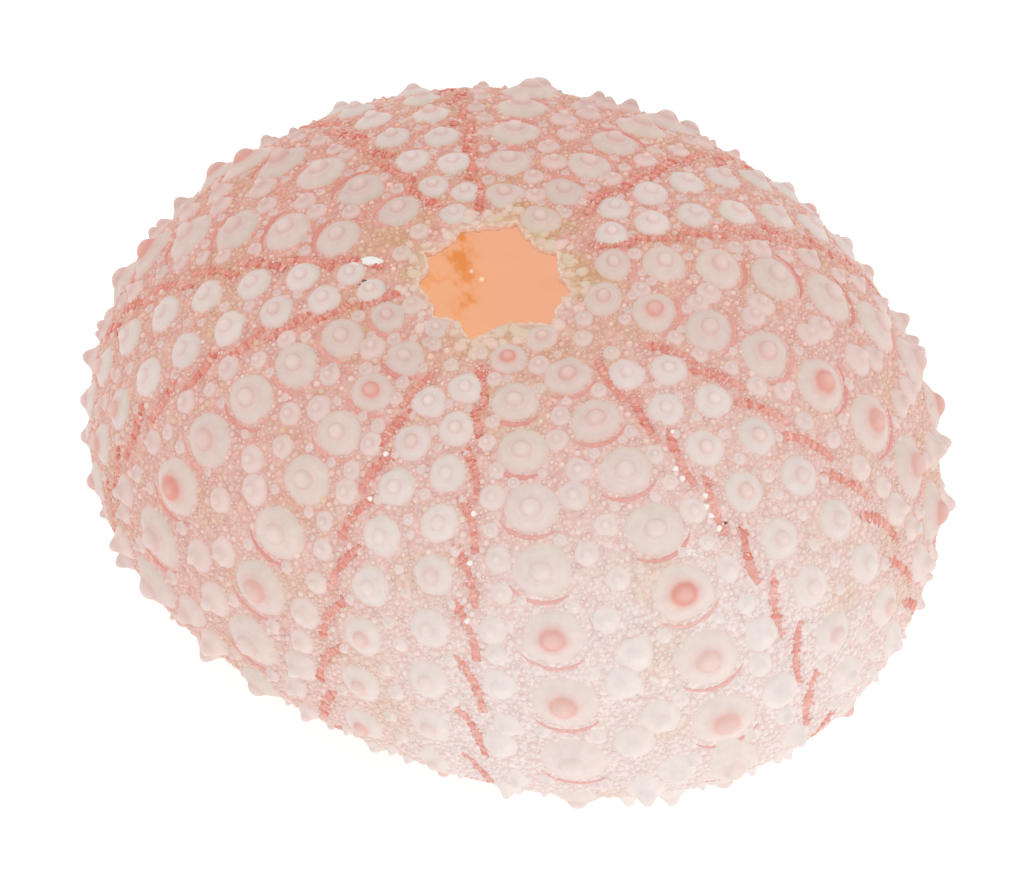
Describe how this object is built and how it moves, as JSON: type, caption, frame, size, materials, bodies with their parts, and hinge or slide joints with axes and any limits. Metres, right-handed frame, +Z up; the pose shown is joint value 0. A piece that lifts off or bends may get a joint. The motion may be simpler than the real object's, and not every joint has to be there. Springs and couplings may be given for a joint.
{
  "type": "sea urchin shell",
  "caption": "Hollow shell of a sea urchin without its spines, slightly long in plan, covered in rows of round tubercles, with a scalloped hole at the crown and the mouth opening underneath.",
  "frame": {"origin": "bottom centre of the bounding box, on the surface that the shell rests on", "axes": "+Z up through the hole at the crown; the picture looks along +Y from above, with +X to its right"},
  "size_m": [0.0569, 0.0566, 0.0287],
  "materials": {
    "shell": "matte chalky shell, pale grey-white tubercles on salmon pink, with coral pore lines"
  },
  "bodies": {
    "root": {"shell": "shell"}
  },
  "joints": []
}
